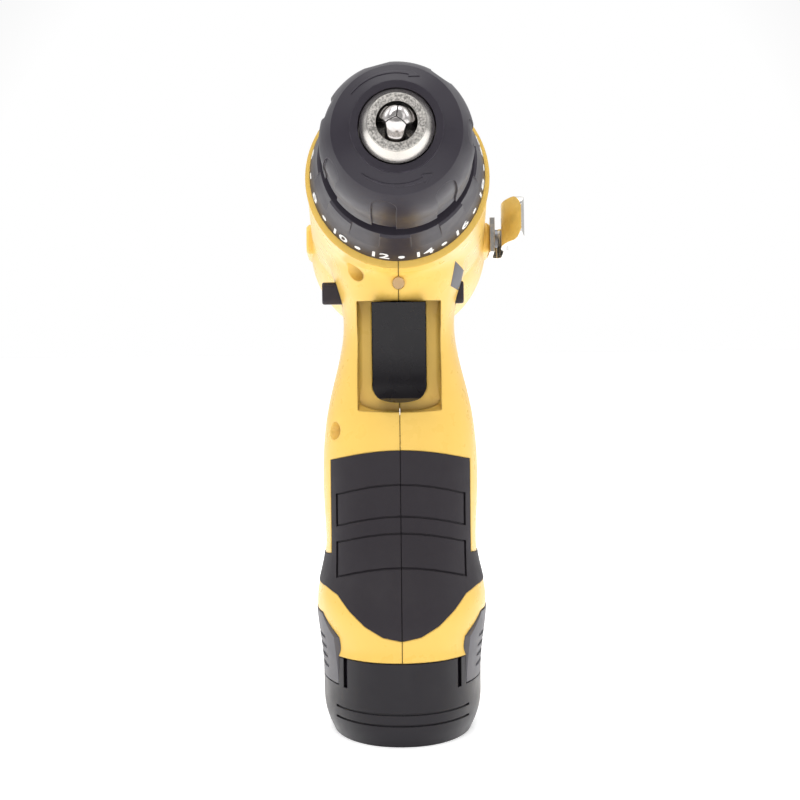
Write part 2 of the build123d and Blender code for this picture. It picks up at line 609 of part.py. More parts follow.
def make_speed_selector():
    """The two-speed slide on top, and the bail that carries its motion to the shift ring."""
    half_w = SELECTOR_W / 2
    button = block((-half_w, half_w), (-SELECTOR_TOP, -SLIDER_Y[1]), SELECTOR_T)
    button = fillet(button.edges().group_by(Axis.Y)[0], 1.0)
    middle = sum(SELECTOR_T) / 2
    for i in range(-1, 2):
        t = middle + 2.2 * i
        groove_y = (-SELECTOR_TOP - 1, -SELECTOR_TOP + 0.7)
        button -= block((-half_w - 1, half_w + 1), groove_y, (t - 0.4, t + 0.4))
    slider = block((-SLIDER_W / 2, SLIDER_W / 2), (-SLIDER_Y[1], -SLIDER_Y[0]), SLIDER_T)
    keep("speed_selector", on_barrel(button + slider))
    t = sum(RING_GROOVE) / 2
    bail = tube(WIRE_BAND[1], WIRE_BAND[0], (t - WIRE_R, t + WIRE_R))
    bail &= block((-30, 30), (-30, 0), (t - 5, t + 5))
    for side in (-1, 1):
        pin = sorted((side * (RING_1_R - 0.7), side * WIRE_BAND[1]))
        bail += rod_x(WIRE_R, pin, 0, t)
    keep("shift_wire", on_barrel(bail))


# ---------------------------------------------------------------- motor
def make_motor():
    """Brushed motor: can, magnets, end bell, rotor and fan."""
    keep("motor_plate", on_barrel(tube(CASE_R - SEAT, BUSH_R + 0.8, PLATE)))
    can = tube(MOTOR_R, MOTOR_R - MOTOR_WALL, MOTOR)
    can += tube(MOTOR_R, BUSH_R + SEAT, (MOTOR[0], MOTOR[0] + MOTOR_WALL))
    keep("motor_can", on_barrel(can))
    ring = tube(MOTOR_R - MOTOR_WALL - SEAT, MAGNET_R, MAGNET_T)
    magnets = [ring & sector(a, MAGNET_ARC, (0, 200)) for a in (0, 180)]
    keep("motor_magnets", on_barrel(Compound(children=magnets)))
    bell = tube(MOTOR_R - 0.4, BUSH_R + SEAT, (END_BELL[0], END_BELL[0] + 2.6))
    bell += tube(BUSH_R + 2.4, BUSH_R + SEAT, END_BELL)
    for arm in around(2, block((8.0, 13.0), (-3.5, 3.5), (END_BELL[0], END_BELL[1]))):
        bell += arm
    keep("motor_end_bell", on_barrel(bell))
    bushes = [tube(BUSH_R, SHAFT_R + RUN, span) for span in (BUSH_FRONT, BUSH_REAR)]
    keep("motor_bearings", on_barrel(Compound(children=bushes)))
    core = tube(CORE_R, SHAFT_R + SEAT, CORE_T)
    slot = block((5.0, 11.2), (-2.6, 2.6), (CORE_T[0] - 1, CORE_T[1] + 1))
    slot += block((5.0, 14.0), (-0.8, 0.8), (CORE_T[0] - 1, CORE_T[1] + 1))
    for gap in around(POLES, slot):
        core -= gap
    keep("armature_core", on_barrel(core))
    front = tube(COIL_R, COMMUTATOR_R, (CORE_T[0] - COIL_LEN, CORE_T[0] - 0.1))
    rear = tube(COIL_R, COMMUTATOR_R, (CORE_T[1] + 0.1, CORE_T[1] + COIL_LEN))
    keep("armature_windings", on_barrel(Compound(children=[front, rear])))
    keep("commutator", on_barrel(tube(COMMUTATOR_R, SHAFT_R + SEAT, COMMUTATOR_T)))
    keep("motor_shaft", on_barrel(tube(SHAFT_R, 0, SHAFT_T)))
    keep("motor_pinion", on_barrel(wheel(SUN_TEETH, PINION_T, SHAFT_R + SEAT)))
    fan = tube(3.4, SHAFT_R + SEAT, FAN_T) + tube(FAN_R, SHAFT_R + SEAT, (FAN_T[1] - 1.2, FAN_T[1]))
    for blade in around(FAN_BLADES, block((3.0, FAN_R - 0.5), (-0.5, 0.5), FAN_T)):
        fan += blade
    keep("cooling_fan", on_barrel(fan - tube(SHAFT_R + SEAT, 0, (FAN_T[0] - 1, FAN_T[1] + 1))))


# ---------------------------------------------------------------- housing
def barrel_form(inset, front):
    """The motor housing's round outside form with its fuller belly, shrunk by inset."""
    back = 178.0 - inset
    outline = [(r - inset, t) for r, t in BARREL_OUTLINE]
    outline[0] = (outline[0][0], front)
    end = [(r - inset * 0.8, t - inset) for r, t in BARREL_END]
    top = spun([(0, back), (0, front), outline[0]], outline[1:] + end)
    belly = [(r - inset, t + inset * (0.6 - 1.6 * i / 5)) for i, (r, t) in enumerate(BELLY_OUTLINE)]
    low = spun([(0, belly[-1][1]), (0, belly[0][1]), belly[0]], belly[1:])
    return Pos(0, BARREL_DROP, 0) * (top + Pos(0, BELLY_DROP, 0) * low)


def hook_bosses():
    """A raised pad on each flank for the belt hook."""
    pad = block((18, BOSS_X), (-BOSS_H / 2, BOSS_H / 2), (BOSS_T - BOSS_L / 2, BOSS_T + BOSS_L / 2))
    pad = fillet(pad.edges().filter_by(Axis.X), 3.0)
    pad = chamfer(pad.faces().sort_by(Axis.X)[-1].edges(), 0.8)
    pad = Pos(0, BOSS_DROP, 0) * pad
    return pad + mirror(pad, about=Plane.YZ)


def trigger_bay():
    """The space scooped out of the handle's front round the trigger."""
    low, high = BAY_Z
    side = [
        (BAY_FLOOR, high),
        (BAY_FLOOR, low + 4.6),
        (BAY_FLOOR - 1.2, low + 2.2),
        (BAY_FLOOR - 3.6, low + 0.5),
        (BAY_FLOOR - 7.0, low),
        (BAY_FLOOR - 40, low),
        (BAY_FLOOR - 40, high),
    ]
    bay = facing_side(side, (-BAY_HALF_W, BAY_HALF_W))
    return fillet(bay.edges().filter_by(Axis.Z).group_by(Axis.Y)[-1], BAY_ROUND)


def screw_bosses():
    """Solid pillars across the housing for its screws."""
    span = (-40.0, 40.0)
    pillars = [rod_x(SCREW_BOSS_R, span, y, z) for y, z in SCREWS]
    return sum(pillars[1:], pillars[0])


def screw_holes():
    """Head recesses from the -X side and pilot holes into the +X half."""
    cuts = []
    for y, z in SCREWS:
        cuts.append(rod_x(SCREW_HEAD_R + 0.15, (-60.0, -SCREW_HEAD_X), y, z))
        cuts.append(rod_x(SCREW_R + SEAT, (-60.0, SCREW_END_X), y, z))
    return sum(cuts[1:], cuts[0])


def make_housing():
    """The two moulded halves and what is fixed straight to them."""
    handle = handle_form(0)
    barrel = on_barrel(barrel_form(0, BARREL_FRONT))
    hollow_barrel = on_barrel(barrel_form(WALL, BARREL_FRONT + FLANGE))
    mouth = on_barrel(tube(FLANGE_R, 0, (BARREL_FRONT - 1, BARREL_FRONT + FLANGE + 1)))
    top_rows = [row for row in HANDLE if row[0] >= 85.0]
    hollow_handle = handle_form(WALL, top_rows) & block((-FAR, FAR), (-FAR, FAR), (BAY_TOP, FAR))
    post_bay = post_form(POST_CLEAR, (HANDLE[0][0] - 1, BAY_TOP))
    outside = handle + barrel
    joint = new_edges(handle, barrel, combined=outside)
    outside = outside.fillet(BARREL_BLEND, joint) + on_barrel(hook_bosses())
    hollow = hollow_barrel + hollow_handle
    shell = outside - hollow

    # walls and pillars inside
    bay_wall = block((-17, 17), (BAY_FLOOR, BAY_FLOOR + BAY_WALL), (BAY_TOP, BAY_Z[1] + 3)) & handle
    shell += bay_wall
    shell += screw_bosses() & outside
    for t in MOTOR_RIBS:
        rib = tube(30, MOTOR_R + 0.15, (t - RIB / 2, t + RIB / 2)) & barrel_form(1.0, BARREL_FRONT)
        rib -= block((-9, 9), (0, 60), (t - 5, t + 5))
        shell += on_barrel(rib)
    block_rib = block((-22, 22), (BLOCK_Y[0] + 2, BLOCK_Y[1] - 2), (BLOCK_Z[0] + 0.4, BLOCK_Z[1] - 0.6))
    switch_rib = block((-19, 19), (4.0, 20.0), (112.0, 113.6))
    shell += (block_rib + switch_rib) & handle
    keep_out = block((-BLOCK_HALF_W - SEAT, BLOCK_HALF_W + SEAT), (-8, 18), (BLOCK_Z[0] - 4, BLOCK_Z[1] + 1))
    keep_out += block((-SWITCH_W / 2 - SEAT, SWITCH_W / 2 + SEAT), (SWITCH_Y[0] - 1, 26), (96, 128))
    shell -= keep_out
    shell -= post_bay
    shell -= mouth

    # openings
    shell -= trigger_bay()
    shell -= trigger_front(SLIP, (-60, BAY_FLOOR + BAY_WALL + 1))
    hole = DIRECTION_H / 2 + SLIP, DIRECTION_D / 2 + SLIP
    shell -= block(
        (-60, 60),
        (DIRECTION_Y - hole[1], DIRECTION_Y + hole[1]),
        (DIRECTION_Z - hole[0], DIRECTION_Z + hole[0]),
    )
    shell -= rod_y(LED_R + SEAT, 0, (-60, -26), LED_Z)
    shell -= screw_holes()
    sel = SELECTOR_W / 2 + SLIP
    shell -= on_barrel(
        block((-sel, sel), (-40, -20), (SELECTOR_T[0] - SHIFT_TRAVEL - SLIP, SELECTOR_T[1] + SLIP))
        + block((-SLIDER_W / 2 - 1, SLIDER_W / 2 + 1), (-SLIDER_Y[1] - 0.6, -15), (74.0, 100.0))
    )
    for i in range(VENTS):
        t = VENT_T + i * VENT_STEP
        slit = block((18, 40), (-VENT_H / 2, VENT_H / 2), (t - VENT_W / 2, t + VENT_W / 2))
        shell -= on_barrel(slit + mirror(slit, about=Plane.YZ))
    shell -= facing_side(latch_outline(SLIP, BASE_TOP - 5), (-40, 40)) - post_form(0, (0, 60))
    shell -= grip_region(PAD_FIT) - handle_form(PAD + PAD_FIT)
    shell -= on_barrel(rod_x(HOOK_SCREW_R + SEAT, (20, 40), HOOK_DROP, HOOK_SCREW_T))
    keep("housing_left", half(shell, 1))
    keep("housing_right", half(shell, -1))

    # screws
    screws = []
    for y, z in SCREWS:
        head = rod_x(SCREW_HEAD_R, (-SCREW_HEAD_X - 2.0, -SCREW_HEAD_X - SEAT), y, z)
        head -= rod_x(1.1, (-SCREW_HEAD_X - 3.0, -SCREW_HEAD_X - 0.8), y, z)
        screws.append(head + rod_x(SCREW_R, (-SCREW_HEAD_X - SEAT, SCREW_END_X - 0.5), y, z))
    keep("housing_screws", Compound(children=screws))


# ---------------------------------------------------------------- grip
def grip_region(grow):
    """Where the rubber covers the handle: a front pad with a pointed lower edge, a rear pad and a band
    between them low on the flanks."""
    right = [(x + grow * 0.5, z - grow) for x, z in PAD_EDGE]
    shoulder_low, shoulder_high = PAD_SHOULDER
    right += [(30.0, shoulder_low + grow), (PAD_HALF_W + grow, shoulder_high + grow)]
    steps = 6
    for i in range(steps + 1):
        x = PAD_HALF_W * (1 - i / steps)
        sag = PAD_TOP_SAG * (x / PAD_HALF_W) ** 2
        right.append((x + (grow if i == 0 else 0), PAD_TOP - sag + grow))
    left = [(-x, z) for x, z in reversed(right[1:-1])]
    front = facing_front(right + left, (-60, PAD_SPLIT_Y + grow))
    band = block((-30, 30), (0, 60), (PAD_EDGE[-1][1] - grow, shoulder_low + grow))
    band -= block((-10, 10), (-1, 10), (40, 60))
    half_w = REAR_PAD_HALF_W + grow
    rear = block((-half_w, half_w), (PAD_SPLIT_Y + 10, 60), (REAR_PAD[0] - grow, REAR_PAD[1] + grow))
    rear = fillet(rear.edges().filter_by(Axis.Y), 6.0)
    return front + band + rear


def panel_outline(top, bottom, grow):
    """A finger panel as (x, z) corners with bowed upper and lower edges."""
    half_w = PANEL_HALF_W + grow
    steps = 8
    upper, lower = [], []
    for i in range(steps + 1):
        x = half_w * (2 * i / steps - 1)
        sag = PANEL_SAG * (x / PANEL_HALF_W) ** 2
        upper.append((x, top + grow - sag))
        lower.append((x, bottom - grow - sag))
    return upper + lower[::-1]


def make_grip():
    """The rubber overmould, parted at the seam like the housing under it."""
    skin = handle_form(-PAD_PROUD) - handle_form(PAD)
    pads = skin & grip_region(0)
    bed = handle_form(PANEL_DEPTH - PAD_PROUD)
    for top, bottom in PANELS:
        frame = facing_front(panel_outline(top, bottom, PANEL_LINE), (-60, 0))
        frame -= facing_front(panel_outline(top, bottom, 0), (-61, 1))
        pads -= frame - bed
    keep("grip_left", half(pads, 1))
    keep("grip_right", half(pads, -1))


# ---------------------------------------------------------------- controls
def trigger_front(grow, y):
    """The trigger's outline from the front, square-topped and round-footed, extruded along Y."""
    right = [(x + grow * x / (TRIGGER_W / 2), y[0], z - grow) for x, z in TRIGGER_FOOT]
    foot = right + [(-px, py, pz) for px, py, pz in right[-2::-1]]
    half_w, top = TRIGGER_W / 2 + grow, TRIGGER_Z[1] + grow
    sides = Polyline(foot[-1], (-half_w, y[0], top), (half_w, y[0], top), foot[0])
    return extrude(make_face(Spline(*foot) + sides), y[1] - y[0], dir=(0, 1, 0))


def trigger():
    """A hollow-backed finger trigger with a dished face, rounded foot and a sprung stem."""
    back = TRIGGER_REAR
    top = TRIGGER_FACE[0]
    foot = TRIGGER_FACE[-1]
    curve = Spline(*[(0, y, z) for y, z in TRIGGER_FACE])
    corners = [foot, (foot[0] + 2.6, TRIGGER_Z[0]), (back, TRIGGER_Z[0]), (back, top[1]), top]
    rest = Polyline(*[(0, y, z) for y, z in corners])
    side = make_face(curve + rest)
    body = extrude(side, TRIGGER_W / 2, dir=(1, 0, 0), both=True)
    body &= trigger_front(0, (-60, 60))
    body -= block((-6.2, 6.2), (-25.0, back + 1), (TRIGGER_Z[0] + 6.0, TRIGGER_Z[1] - 2.5))
    width, height, end = TRIGGER_STEM
    mid = sum(TRIGGER_Z) / 2
    stem = block((-width / 2, width / 2), (-25.5, end), (mid - height / 2, mid + height / 2))
    stem -= rod_y(TRIGGER_BORE_R, 0, (-21.0, end + 1), mid)
    return body + stem


def make_controls():
    """Trigger, its spring, the electric switch, the direction bar and the lamp."""
    keep("trigger", trigger())
    switch = block((-SWITCH_W / 2, SWITCH_W / 2), SWITCH_Y, SWITCH_Z)
    switch = chamfer(switch.edges().filter_by(Axis.X), 1.2)
    keep("switch_body", switch)
    start, end = -20.6, SWITCH_Y[0] - 0.1
    height = end - start - 2 * TRIGGER_WIRE_R
    spring = coil(TRIGGER_SPRING_R, TRIGGER_WIRE_R, TRIGGER_PITCH, height)
    spring = Pos(0, start + TRIGGER_WIRE_R, sum(TRIGGER_Z) / 2) * Rot(-90, 0, 0) * spring
    keep("trigger_spring", spring)
    bar = Pos(DIRECTION_REST, DIRECTION_Y, DIRECTION_Z) * Box(DIRECTION_L, DIRECTION_D, DIRECTION_H)
    bar = fillet(bar.edges().filter_by(Axis.X), 1.4)
    bar = fillet(bar.faces().sort_by(Axis.X)[0].edges() + bar.faces().sort_by(Axis.X)[-1].edges(), 0.6)
    keep("direction_selector", bar)
    lamp = rod_y(LED_R, 0, (-32.9, -31.0), LED_Z) + Pos(0, -32.9, LED_Z) * Sphere(LED_R)
    lamp &= block((-5, 5), (-33.8, -30), (LED_Z - 5, LED_Z + 5))
    keep("led_lamp", lamp)
    terminal = block((-BLOCK_HALF_W, BLOCK_HALF_W), BLOCK_Y, BLOCK_Z)
    width, depth, height = CONTACT
    for x in CONTACTS_X:
        slot = width / 2 + SLIP
        terminal -= block((x - slot, x + slot), (4.5 - depth / 2 - SLIP, 4.5 + depth / 2 + SLIP), (80, 90.6))
    keep("terminal_block", terminal)
    leads = []
    for x in (-4.5, 4.5):
        points = [(x, 20.0, 127.6), (x, 27.0, 130.2), (x, 38.0, 132.4), (x, 50.0, 132.6), (x, 56.5, 136.8)]
        leads.append(wire(points, 0.9))
    keep("motor_leads", Compound(children=leads))


# ---------------------------------------------------------------- battery
def latch_outline(grow, bottom=None):
    """The side latch seen from the side, as (y, z) corners, grown all round."""
    (y0, z0), (y1, _), (_, z1), (y2, _), (_, z2) = LATCH
    low = z0 - grow if bottom is None else bottom
    return [
        (y0 - grow, low),
        (y1 + grow, low),
        (y1 + grow, z1 + grow),
        (y2 - grow * 0.5, z1 + grow),
        (y0 - grow, z2 + grow * 0.5),
    ]


def flank_form(inset):
    """The run of base and handle that the latches follow, shrunk by inset."""
    rows = [(10.0, FOOT_HALF_W, -FOOT_HALF_D, FOOT_HALF_D, FOOT_N)] + HANDLE[:3]
    return loft([oval(w - inset, f + inset, b - inset, n, z) for z, w, f, b, n in rows])


def make_battery():
    """Battery pack: base, post, cells, contacts and side latches."""
    base = base_form(0)
    inside = base_form(BASE_WALL) & block((-FAR, FAR), (-FAR, FAR), (BASE_WALL - FOOT, FAR))
    inside += extrude(foot_oval(BASE_WALL, 20.0), 10, dir=(0, 0, 1))
    base -= inside
    skin = base_form(GROOVE_DEPTH)
    for z in GROOVES:
        line = block((-GROOVE_HALF_W, GROOVE_HALF_W), (-60, 60), (z - GROOVE_W / 2, z + GROOVE_W / 2))
        base -= line - skin
    deep = base_form(SLOT_DEPTH)
    for x in (-SLOT_X, SLOT_X):
        slot = block((x - SLOT_W / 2, x + SLOT_W / 2), (-60, 60), (SLOT_BOTTOM, BASE_TOP + 1))
        base -= slot - deep
    pocket = facing_side(latch_outline(SLIP), (-40, 40))
    pocket -= flank_form(LATCH_IN + LATCH_TRAVEL + SLIP)
    base -= pocket
    keep("battery_base", base)

    post = post_form(0, (10.0, POST_TOP))
    post += extrude(foot_oval(BASE_WALL + 0.1, BASE_TOP - BASE_LID), BASE_LID, dir=(0, 0, 1))
    post -= post_form(-POST_WALL, (9.0, POST_TOP - 1.6))
    post -= facing_side(latch_outline(SLIP), (-40, 40)) - flank_form(LATCH_IN + LATCH_TRAVEL + SLIP)
    keep("battery_post", post)

    cells = []
    for x, y in CELLS:
        cell = Pos(x, y, CELL_BOTTOM) * Cylinder(CELL_R, CELL_LEN, align=BACKWARDS)
        cell += Pos(x, y, CELL_BOTTOM + CELL_LEN) * Cylinder(2.8, 0.8, align=BACKWARDS)
        cells.append(cell)
    keep("battery_cells", Compound(children=cells))
    width, depth, height = CONTACT
    blades = []
    for x in CONTACTS_X:
        blade_y = (4.5 - depth / 2, 4.5 + depth / 2)
        blades.append(block((x - width / 2, x + width / 2), blade_y, (POST_TOP + SEAT, POST_TOP + height)))
    keep("battery_contacts", Compound(children=blades))

    plate = flank_form(-LATCH_PROUD) - flank_form(LATCH_IN)
    plate &= facing_side(latch_outline(0), (-40, 40))
    bed = flank_form(-LATCH_PROUD + 0.5)
    middle = (LATCH[0][1] + LATCH[2][1]) / 2 - 1.5
    for i in range(LATCH_RIBS):
        z = middle + LATCH_RIB_STEP * (i - (LATCH_RIBS - 1) / 2)
        line = block((-40, 40), (-17.0, 8.0), (z - LATCH_RIB_W / 2, z + LATCH_RIB_W / 2))
        plate -= line - bed
    keep("latch_left", plate & block((0, 60), (-60, 60), (0, 60)))
    keep("latch_right", plate & block((-60, 0), (-60, 60), (0, 60)))


# ---------------------------------------------------------------- belt hook
def make_hook():
    """A sprung steel strip: base plate, tight rear bend, arm pinching in, and a flared tip."""
    bend_r = (HOOK_ARM_X - HOOK_BASE_X) / 2
    base = Line((HOOK_BASE_X, HOOK_BASE_FRONT), (HOOK_BASE_X, HOOK_BEND_T))
    bend = ThreePointArc(
        (HOOK_BASE_X, HOOK_BEND_T), (HOOK_BASE_X + bend_r, HOOK_BEND_T + bend_r), (HOOK_ARM_X, HOOK_BEND_T)
    )
    arm = Spline(
        (HOOK_ARM_X, HOOK_BEND_T),
        (HOOK_ARM_X - 0.1, HOOK_BEND_T - 14),
        (HOOK_PINCH_X, HOOK_PINCH_T),
        (HOOK_TIP_X, HOOK_TIP_T),
        tangents=((0, -1), (1, -0.75)),
    )
    path = base + bend + arm
    strip = extrude(trace(path, HOOK_THICK), HOOK_W / 2, both=True)
    upright = Plane(origin=(0, HOOK_DROP, 0), x_dir=(1, 0, 0), z_dir=(0, -1, 0))
    strip = upright.location * strip
    strip -= rod_x(HOOK_SCREW_R + 0.2, (20, 33.5), HOOK_DROP, HOOK_SCREW_T)
    corner = block((34, 60), (-30, 30), (HOOK_TIP_T - 6, HOOK_TIP_T + HOOK_CORNER))
    straight = HOOK_W / 2 - HOOK_CORNER
    keeper = block((34, 60), (HOOK_DROP - straight, HOOK_DROP + straight), (90, 110))
    for side in (-1, 1):
        y = HOOK_DROP + side * (HOOK_W / 2 - HOOK_CORNER)
        keeper += rod_x(HOOK_CORNER, (34, 60), y, HOOK_TIP_T + HOOK_CORNER - 0.4)
    strip -= corner - keeper
    wide, narrow = HOOK_W / 2 + 1, HOOK_ROOT_W / 2
    waist = [(wide, 90.0), (wide, HOOK_TAPER[0]), (narrow, HOOK_TAPER[1]), (narrow, 170.0)]
    waist += [(-y, t) for y, t in reversed(waist)]
    corners = [(20.0, HOOK_DROP + y, t) for y, t in waist]
    strip &= extrude(make_face(Polyline(*corners, corners[0])), 40.0, dir=(1, 0, 0))
    keep("belt_hook", on_barrel(strip))
    outer = HOOK_BASE_X + HOOK_THICK / 2
    screw = rod_x(HOOK_SCREW_HEAD_R, (outer + SEAT, outer + 1.3), HOOK_DROP, HOOK_SCREW_T)
    screw += rod_x(HOOK_SCREW_R, (24.5, outer + SEAT), HOOK_DROP, HOOK_SCREW_T)
    keep("hook_screw", on_barrel(screw))


make_chuck()
make_clutch()
make_gears()
make_speed_selector()
make_motor()
make_grip()
make_controls()
make_battery()
make_hook()
make_housing()

for part_name, part in PARTS.items():
    export_step(part, f"parts/{part_name}.step")
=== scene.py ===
"""Cordless drill: materials, dial print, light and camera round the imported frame. Metres throughout."""
import json
import math

import bmesh
import bpy
from mathutils import Matrix, Vector
from mathutils.bvhtree import BVHTree


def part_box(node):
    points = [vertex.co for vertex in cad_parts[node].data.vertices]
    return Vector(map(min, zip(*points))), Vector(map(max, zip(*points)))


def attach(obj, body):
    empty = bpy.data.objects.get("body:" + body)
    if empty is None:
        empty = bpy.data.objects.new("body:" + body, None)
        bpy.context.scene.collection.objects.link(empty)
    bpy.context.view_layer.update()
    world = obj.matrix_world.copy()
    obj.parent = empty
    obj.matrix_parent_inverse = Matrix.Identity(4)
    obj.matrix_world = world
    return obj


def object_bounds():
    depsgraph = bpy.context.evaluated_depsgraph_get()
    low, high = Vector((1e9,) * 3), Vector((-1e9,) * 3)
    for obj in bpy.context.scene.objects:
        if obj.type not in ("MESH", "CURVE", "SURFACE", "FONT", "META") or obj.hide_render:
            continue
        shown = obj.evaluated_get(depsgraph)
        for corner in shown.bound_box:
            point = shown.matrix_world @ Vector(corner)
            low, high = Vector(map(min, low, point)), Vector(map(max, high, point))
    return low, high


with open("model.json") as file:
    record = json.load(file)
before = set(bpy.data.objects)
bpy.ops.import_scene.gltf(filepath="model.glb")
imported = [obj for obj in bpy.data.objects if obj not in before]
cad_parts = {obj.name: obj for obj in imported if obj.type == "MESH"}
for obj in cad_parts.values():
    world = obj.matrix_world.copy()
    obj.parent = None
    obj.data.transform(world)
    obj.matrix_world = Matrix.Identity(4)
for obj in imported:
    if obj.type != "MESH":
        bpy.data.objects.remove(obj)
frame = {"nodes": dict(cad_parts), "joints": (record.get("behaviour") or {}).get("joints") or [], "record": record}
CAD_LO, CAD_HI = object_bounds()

MM = 0.001
NODES = frame["nodes"]
RECORD = frame["record"]
JOINTS = {joint["name"]: joint for joint in frame["joints"]}

# ---------------------------------------------------------------- the barrel's axis
SPIN = JOINTS["spindle_spin"]
NOSE = Vector(SPIN["pos_m"])
BACK = Vector(SPIN["axis"]).normalized()
SIDE = Vector((1, 0, 0))
DOWN = BACK.cross(SIDE)


def on_barrel(angle, radius, t):
    """A point at an angle from +X towards the ground, a radius, and a distance behind the nose."""
    a = math.radians(angle)
    return NOSE + BACK * t + (SIDE * math.cos(a) + DOWN * math.sin(a)) * radius


def span_t(node):
    """How far behind the nose a node begins and ends."""
    along = [(vertex.co - NOSE).dot(BACK) for vertex in NODES[node].data.vertices]
    return min(along), max(along)


# ---------------------------------------------------------------- node graphs
class Graph:
    """A material or world under construction."""

    def __init__(self, owner):
        owner.use_nodes = True
        self.tree = owner.node_tree
        self.tree.nodes.clear()

    def add(self, kind, settings=None, **inputs):
        """A node with its properties set; an input is a value or another node's socket."""
        node = self.tree.nodes.new(kind)
        for key, value in (settings or {}).items():
            setattr(node, key, value)
        for key, value in inputs.items():
            socket = node.inputs[int(key[1:])] if key[0] == "_" else node.inputs[key.replace("_", " ")]
            if isinstance(value, bpy.types.NodeSocket):
                self.tree.links.new(value, socket)
            else:
                socket.default_value = value
        return node

    def math(self, operation, a, b=0.0):
        return self.add("ShaderNodeMath", {"operation": operation}, _0=a, _1=b).outputs[0]

    def noise(self, size, detail=3.0):
        """Noise whose blobs are about size across."""
        inputs = {"Vector": self.place(), "Scale": 1.0 / size, "Detail": detail}
        return self.add("ShaderNodeTexNoise", None, **inputs).outputs["Fac"]

    def place(self):
        return self.add("ShaderNodeTexCoord").outputs["Object"]

    def spread(self, value, low, high, to_low=0.0, to_high=1.0):
        """Maps a range onto another, held at its ends."""
        return self.add(
            "ShaderNodeMapRange", {"clamp": True}, _0=value, _1=low, _2=high, _3=to_low, _4=to_high
        ).outputs[0]

    def blend(self, share, a, b):
        mix = self.add("ShaderNodeMix", {"data_type": "RGBA"}, _0=share, _6=a, _7=b)
        return mix.outputs[2]

    def edges(self, radius):
        """A rounded normal for sharp edges, and a mask that is 1 along them."""
        rounded = self.add("ShaderNodeBevel", {"samples": 4}, Radius=radius).outputs[0]
        flat = self.add("ShaderNodeNewGeometry").outputs["Normal"]
        dot = self.add("ShaderNodeVectorMath", {"operation": "DOT_PRODUCT"}, _0=rounded, _1=flat)
        return rounded, self.spread(dot.outputs["Value"], 0.99, 0.80)

    def bump(self, height, depth, normal):
        return self.add(
            "ShaderNodeBump", None, Strength=1.0, Distance=depth, Height=height, Normal=normal
        ).outputs[0]

    def shader(self, **inputs):
        principled = self.add("ShaderNodeBsdfPrincipled", None, **inputs)
        self.tree.links.new(
            principled.outputs[0], self.add("ShaderNodeOutputMaterial").inputs["Surface"]
        )
        return principled


def opaque(colour):
    return (*colour, 1.0)


def scaled(colour, factor):
    return opaque([min(1.0, channel * factor) for channel in colour])


def moulded(name, colour, rough, grain, depth, round_edge=0.35 * MM, wear_and_sheen=1.25, mottle=0.06, shine=0.3):
    """Moulded plastic or rubber: grained skin, faint mottle, softened edges painted lighter, partly as rubbed wear
    and partly as painted sheen.
    """
    material = bpy.data.materials.new(name)
    graph = Graph(material)
    rounded, edge = graph.edges(round_edge)
    cloud = graph.noise(14 * MM, 4.0)
    fine = graph.noise(grain, 2.0)
    body = graph.blend(cloud, scaled(colour, 1 - mottle), scaled(colour, 1 + mottle))
    # Edges are painted lighter: partly rubbed wear, partly painted sheen along the edges.
    rubbed_and_sheen = graph.math("MULTIPLY", edge, graph.spread(graph.noise(2.5 * MM, 3.0), 0.35, 0.65))
    tint = graph.blend(rubbed_and_sheen, body, scaled(colour, wear_and_sheen))
    gloss = graph.spread(graph.noise(5 * MM, 5.0), 0.3, 0.7, rough - 0.05, rough + 0.05)
    graph.shader(
        Base_Color=tint,
        Roughness=gloss,
        IOR=1.49,
        Specular_IOR_Level=shine,
        Normal=graph.bump(fine, depth, rounded),
    )
    return material


def metal(name, colour, rough, grain, depth, wear_and_sheen=1.12):
    """Turned or ground steel: fine grain and a few darker stains."""
    material = bpy.data.materials.new(name)
    graph = Graph(material)
    rounded, edge = graph.edges(0.2 * MM)
    stain = graph.spread(graph.noise(4 * MM, 6.0), 0.45, 0.75)
    body = graph.blend(stain, opaque(colour), scaled(colour, 0.82))
    # Edges are painted lighter: worn metal and painted sheen.
    tint = graph.blend(edge, body, scaled(colour, wear_and_sheen))
    gloss = graph.spread(graph.noise(1.5 * MM, 4.0), 0.3, 0.7, rough - 0.06, rough + 0.08)
    fine = graph.noise(grain, 3.0)
    graph.shader(Base_Color=tint, Metallic=1.0, Roughness=gloss, Normal=graph.bump(fine, depth, rounded))
    return material


def nose_steel(name, colour):
    """The chuck's steel: satin turned flanks, and a blasted lip round the bit hole."""
    material = bpy.data.materials.new(name)
    graph = Graph(material)
    rounded, edge = graph.edges(0.25 * MM)
    offset = graph.add("ShaderNodeVectorMath", {"operation": "SUBTRACT"}, _0=graph.place(), _1=NOSE)
    t = graph.add("ShaderNodeVectorMath", {"operation": "DOT_PRODUCT"}, _0=offset.outputs[0], _1=BACK)
    lip = graph.spread(t.outputs["Value"], 0.5 * MM, 0.1 * MM)
    grit = graph.noise(0.55 * MM, 4.0)
    turned = graph.noise(0.9 * MM, 4.0)
    pitted = graph.spread(grit, 0.38, 0.62)
    blasted = graph.blend(pitted, scaled(colour, 0.34), scaled(colour, 0.95))
    satin = graph.blend(turned, scaled(colour, 0.92), opaque(colour))
    body = graph.blend(lip, satin, blasted)
    # Edges are painted lighter: wear and painted sheen.
    tint = graph.blend(edge, body, scaled(colour, 1.15))
    gloss = graph.spread(lip, 0.0, 1.0, 0.20, 0.46)
    height = graph.math("MULTIPLY", grit, graph.spread(lip, 0.0, 1.0, 0.12, 1.0))
    graph.shader(
        Base_Color=tint, Metallic=1.0, Roughness=gloss, Normal=graph.bump(height, 0.10 * MM, rounded)
    )
    return material


